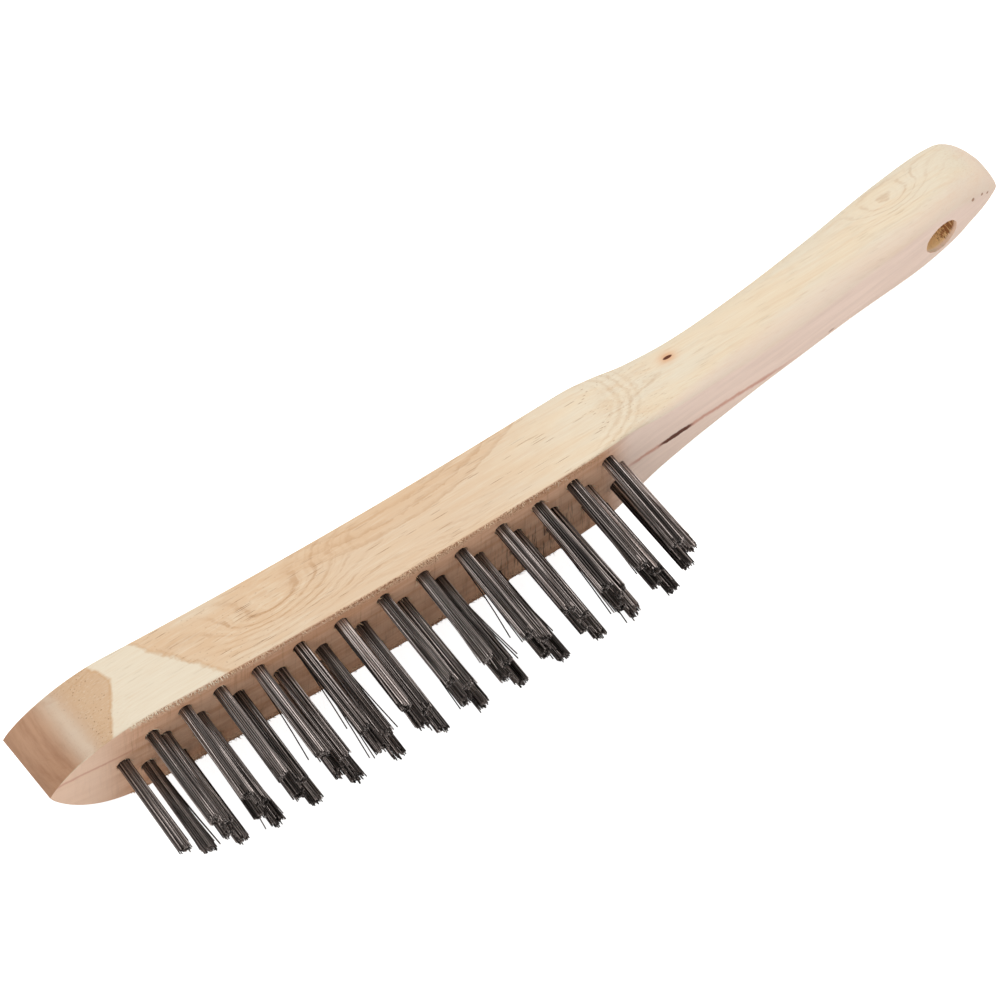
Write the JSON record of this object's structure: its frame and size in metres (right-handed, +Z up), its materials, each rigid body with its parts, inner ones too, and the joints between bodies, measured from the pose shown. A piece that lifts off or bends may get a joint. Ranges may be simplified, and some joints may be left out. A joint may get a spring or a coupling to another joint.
{
  "type": "wire brush",
  "caption": "Hand scratch brush: one-piece wooden block and handle with a pointed toe, rows of stiff steel wire tufts held by flat anchors, and a hanging hole.",
  "frame": {"origin": "on the surface that the brush lies on, under the middle of the whole brush", "axes": "+X from the toe to the handle's end, the wires point to -Y, +Z is up with the brush lying on its side, across the block's width"},
  "size_m": [0.29, 0.0599, 0.0328],
  "materials": {
    "wood": "bare sanded pale hardwood, unvarnished",
    "wire": "dark drawn carbon steel wire, satin",
    "anchor": "flat drawn steel strip"
  },
  "bodies": {
    "root": {"handle_block": "wood", "tuft_a01": "wire", "tuft_a02": "wire", "tuft_a03": "wire", "tuft_a04": "wire", "tuft_a05": "wire", "tuft_a06": "wire", "tuft_a07": "wire", "tuft_a08": "wire", "tuft_a09": "wire", "tuft_a10": "wire", "tuft_a11": "wire", "tuft_a12": "wire", "tuft_a13": "wire", "tuft_a14": "wire", "tuft_b02": "wire", "tuft_b03": "wire", "tuft_b04": "wire", "tuft_b05": "wire", "tuft_b06": "wire", "tuft_b07": "wire", "tuft_b08": "wire", "tuft_b09": "wire", "tuft_b10": "wire", "tuft_b11": "wire", "tuft_b12": "wire", "tuft_b13": "wire", "tuft_b14": "wire", "tuft_c02": "wire", "tuft_c03": "wire", "tuft_c04": "wire", "tuft_c05": "wire", "tuft_c06": "wire", "tuft_c07": "wire", "tuft_c08": "wire", "tuft_c09": "wire", "tuft_c10": "wire", "tuft_c11": "wire", "tuft_c12": "wire", "tuft_c13": "wire", "tuft_c14": "wire", "tuft_d01": "wire", "tuft_d02": "wire", "tuft_d03": "wire", "tuft_d04": "wire", "tuft_d05": "wire", "tuft_d06": "wire", "tuft_d07": "wire", "tuft_d08": "wire", "tuft_d09": "wire", "tuft_d10": "wire", "tuft_d11": "wire", "tuft_d12": "wire", "tuft_d13": "wire", "anchors_row_a": "anchor", "anchors_row_b": "anchor", "anchors_row_c": "anchor", "anchors_row_d": "anchor"}
  },
  "joints": []
}
